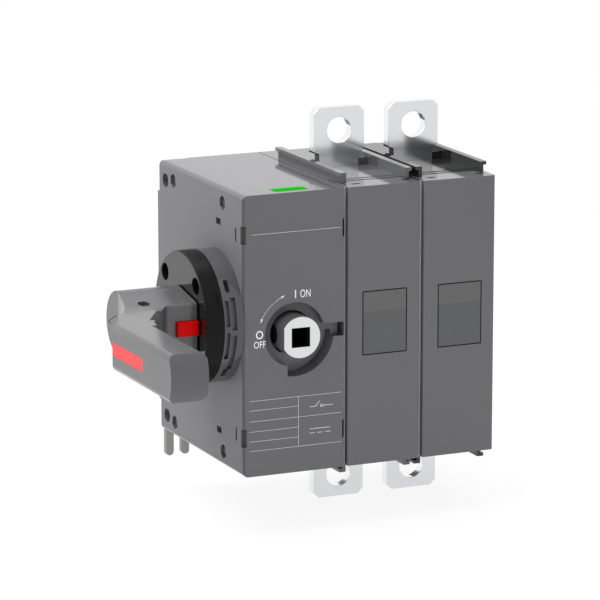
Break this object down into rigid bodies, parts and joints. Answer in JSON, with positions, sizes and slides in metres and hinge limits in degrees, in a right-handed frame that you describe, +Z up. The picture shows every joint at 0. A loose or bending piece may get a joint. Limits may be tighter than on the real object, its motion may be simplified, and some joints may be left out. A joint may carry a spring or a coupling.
{
  "type": "dc isolator switch",
  "caption": "Load-break isolator switch for direct current: moulded drive and pole modules, inspection windows, flat terminal bars and a lockable side handle.",
  "frame": {"origin": "on the mounting plane at the back, at the middle of the body's width and height", "axes": "+X to the right seen from the front, +Y backwards into the wall, +Z up; the front faces -Y and the handle stands off the left side at -X"},
  "size_m": [0.2247, 0.2105, 0.215],
  "materials": {
    "housing": "moulded, lightly polished",
    "cover": "moulded, lightly polished",
    "window": "clear moulded pane, slightly smoked",
    "indicator": "coloured insert",
    "contacts": "bare copper",
    "terminals": "tin-plated copper",
    "bush": "nickel-plated",
    "fixings": "zinc-plated",
    "feet": "zinc-plated, dull",
    "adapter": "moulded",
    "plate": "moulded, polished",
    "lever": "moulded",
    "strip": "coloured insert",
    "tongue": "coloured slide"
  },
  "bodies": {
    "switch": {"mechanism_housing": "housing", "status_indicator": "indicator", "pole_1_base": "housing", "pole_1_cover": "cover", "pole_1_window": "window", "pole_1_contacts": "contacts", "pole_1_top_terminal": "terminals", "pole_1_bottom_terminal": "terminals", "pole_2_base": "housing", "pole_2_cover": "cover", "pole_2_window": "window", "pole_2_contacts": "contacts", "pole_2_top_terminal": "terminals", "pole_2_bottom_terminal": "terminals", "tie_rod_top_front": "fixings", "tie_rod_top_rear": "fixings", "tie_rod_bottom_front": "fixings", "tie_rod_bottom_rear": "fixings", "foot_bottom_left": "feet", "foot_bottom_right": "feet", "foot_top_left": "feet", "foot_top_right": "feet", "side_adapter": "adapter", "handle_plate": "plate"},
    "handle": {"handle_lever": "lever", "handle_strip": "strip", "handle_spindle": "fixings"},
    "tongue": {"lock_tongue": "tongue"},
    "drive_shaft": {"drive_bush": "bush"}
  },
  "joints": [
    {"name": "handle_turn", "type": "hinge", "parent": "switch", "child": "handle", "pos_m": [-0.0942, -0.0825, 0.006], "axis": [-1, 0, 0], "range_deg": [0, 90]},
    {"name": "lock_slide", "type": "slide", "parent": "handle", "child": "tongue", "axis": [0, -1, 0], "range_m": [0, 0.01]},
    {"name": "drive_turn", "type": "hinge", "parent": "switch", "child": "drive_shaft", "pos_m": [-0.0435, -0.116, -0.0006], "axis": [0, 1, 0], "range_deg": [0, 90]}
  ],
  "couplings": [
    {"joint": "drive_turn", "follows": "handle_turn", "ratio": 1}
  ]
}
